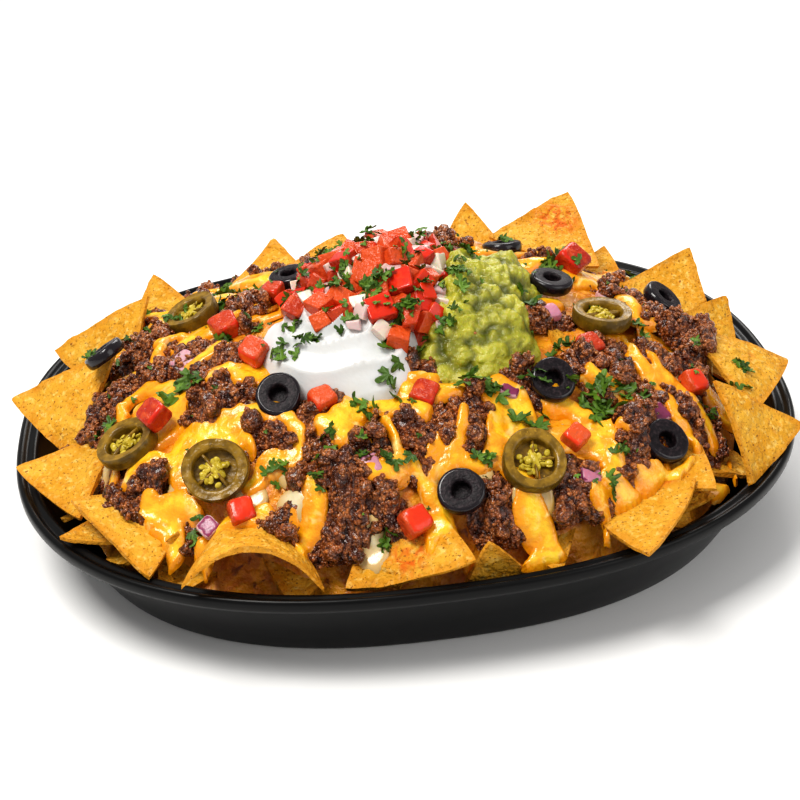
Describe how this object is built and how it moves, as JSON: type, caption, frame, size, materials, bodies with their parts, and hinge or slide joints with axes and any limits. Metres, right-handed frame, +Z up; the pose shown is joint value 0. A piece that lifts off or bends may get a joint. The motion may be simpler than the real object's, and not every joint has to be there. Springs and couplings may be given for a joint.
{
  "type": "loaded nachos on an oval dish",
  "caption": "Heap of corn chips with ground beef, melted cheese, sliced peppers and olives, sour cream, guacamole and diced tomato, on a black oval dish.",
  "frame": {"origin": "centre of the dish's flat underside", "axes": "+X along the dish's long axis, +Y towards its back, +Z up"},
  "size_m": [0.352, 0.2975, 0.1303],
  "materials": {
    "dish": "satin black moulded plastic",
    "heap": "chips, browned beef and melted cheese",
    "chip": "fried yellow corn, blistered and speckled",
    "cheese": "glossy melted cheese",
    "beef": "browned crumbled beef, moist",
    "sour_cream": "smooth and moist",
    "guacamole": "coarse mash, moist",
    "pico": "wet diced tomato",
    "tomato": "wet",
    "white_onion": "wet, translucent",
    "red_onion": "wet, violet skin side",
    "olive": "shiny skin, satin cut faces",
    "jalapeno": "pickled, moist",
    "cilantro": "fresh leaf"
  },
  "bodies": {
    "root": {"dish": "dish", "chip_heap": "heap", "sour_cream": "sour_cream", "guacamole": "guacamole", "pico_de_gallo": "pico", "chip_left_top": "chip", "chip_left_low": "chip", "chip_left_fold": "chip", "chip_left_strip": "chip", "chip_front_arch": "chip", "chip_front_big": "chip", "chip_front_right": "chip", "chip_right_front": "chip", "chip_right_arch": "chip", "chip_right_low": "chip", "chip_right_side": "chip", "chip_right_big": "chip", "chip_back_right": "chip", "chip_back_right_end": "chip", "chip_back_tall": "chip", "chip_back_small": "chip", "chip_back_middle": "chip", "chip_back_left": "chip", "chip_back_hidden": "chip", "chip_left_back": "chip", "chip_left_side": "chip", "olive_1": "olive", "olive_2": "olive", "olive_3": "olive", "olive_4": "olive", "olive_5": "olive", "olive_6": "olive", "olive_7": "olive", "olive_8": "olive", "olive_9": "olive", "jalapeno_1": "jalapeno", "jalapeno_2": "jalapeno", "jalapeno_3": "jalapeno", "jalapeno_4": "jalapeno", "jalapeno_5": "jalapeno", "tomato_1": "tomato", "tomato_2": "tomato", "tomato_3": "tomato", "tomato_4": "tomato", "tomato_5": "tomato", "tomato_6": "tomato", "tomato_7": "tomato", "tomato_8": "tomato", "tomato_9": "tomato", "tomato_10": "tomato", "tomato_11": "tomato", "tomato_12": "tomato", "red_onion_1": "red_onion", "red_onion_2": "red_onion", "red_onion_3": "red_onion", "red_onion_4": "red_onion", "red_onion_5": "red_onion", "red_onion_6": "red_onion", "red_onion_7": "red_onion", "red_onion_8": "red_onion"}
  },
  "joints": []
}
